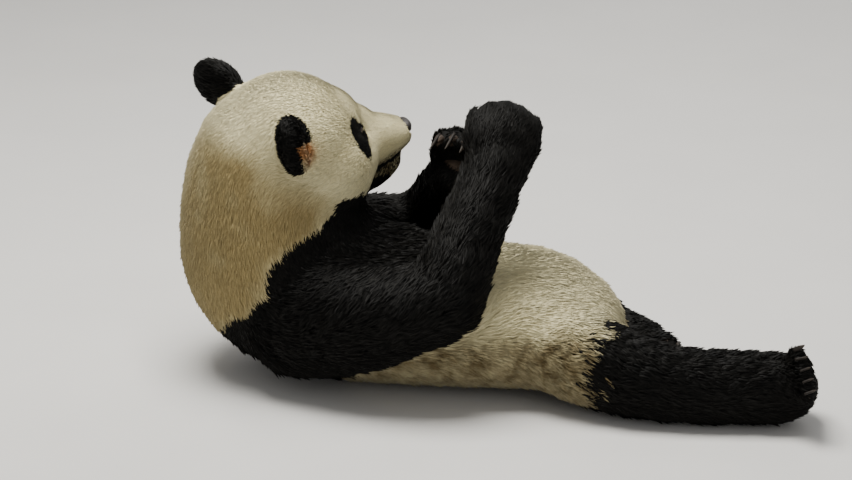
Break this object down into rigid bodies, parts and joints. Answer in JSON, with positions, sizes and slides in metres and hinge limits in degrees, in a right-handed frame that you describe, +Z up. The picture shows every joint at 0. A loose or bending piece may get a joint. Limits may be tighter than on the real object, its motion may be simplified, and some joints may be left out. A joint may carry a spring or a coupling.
{
  "type": "giant panda",
  "caption": "Life-size giant panda reclining on its back, head raised, both forepaws held up before its mouth, black and cream coat.",
  "frame": {"origin": "middle of the whole model's box, on the floor it lies on", "axes": "+X towards the hind feet, -Y towards the panda's own right side, +Z up, the way its belly faces"},
  "size_m": [1.279, 0.6266, 0.6136],
  "materials": {
    "coat_white": "plush cream-white fur, dulled with tan and brown",
    "coat_black": "short near-black fur",
    "eye": "wet, dark brown",
    "nose_pad": "bare black skin, slightly damp",
    "claw": "dark horn, satin"
  },
  "bodies": {
    "root": {"head": "coat_white", "neck": "coat_white", "trunk_belly": "coat_white", "tail": "coat_white", "trunk_chest": "coat_black", "ear_left": "coat_black", "ear_right": "coat_black", "upper_arm_left": "coat_black", "forearm_left": "coat_black", "forepaw_left": "coat_black", "thigh_left": "coat_black", "shank_left": "coat_black", "hind_foot_left": "coat_black", "upper_arm_right": "coat_black", "forearm_right": "coat_black", "forepaw_right": "coat_black", "thigh_right": "coat_black", "shank_right": "coat_black", "hind_foot_right": "coat_black", "eye_left": "eye", "eye_right": "eye", "nose": "nose_pad", "claw_fore_left_1": "claw", "claw_fore_left_2": "claw", "claw_fore_left_3": "claw", "claw_fore_left_4": "claw", "claw_fore_left_5": "claw", "claw_fore_right_1": "claw", "claw_fore_right_2": "claw", "claw_fore_right_3": "claw", "claw_fore_right_4": "claw", "claw_fore_right_5": "claw", "claw_hind_left_1": "claw", "claw_hind_left_2": "claw", "claw_hind_left_3": "claw", "claw_hind_left_4": "claw", "claw_hind_left_5": "claw", "claw_hind_right_1": "claw", "claw_hind_right_2": "claw", "claw_hind_right_3": "claw", "claw_hind_right_4": "claw", "claw_hind_right_5": "claw"}
  },
  "joints": []
}
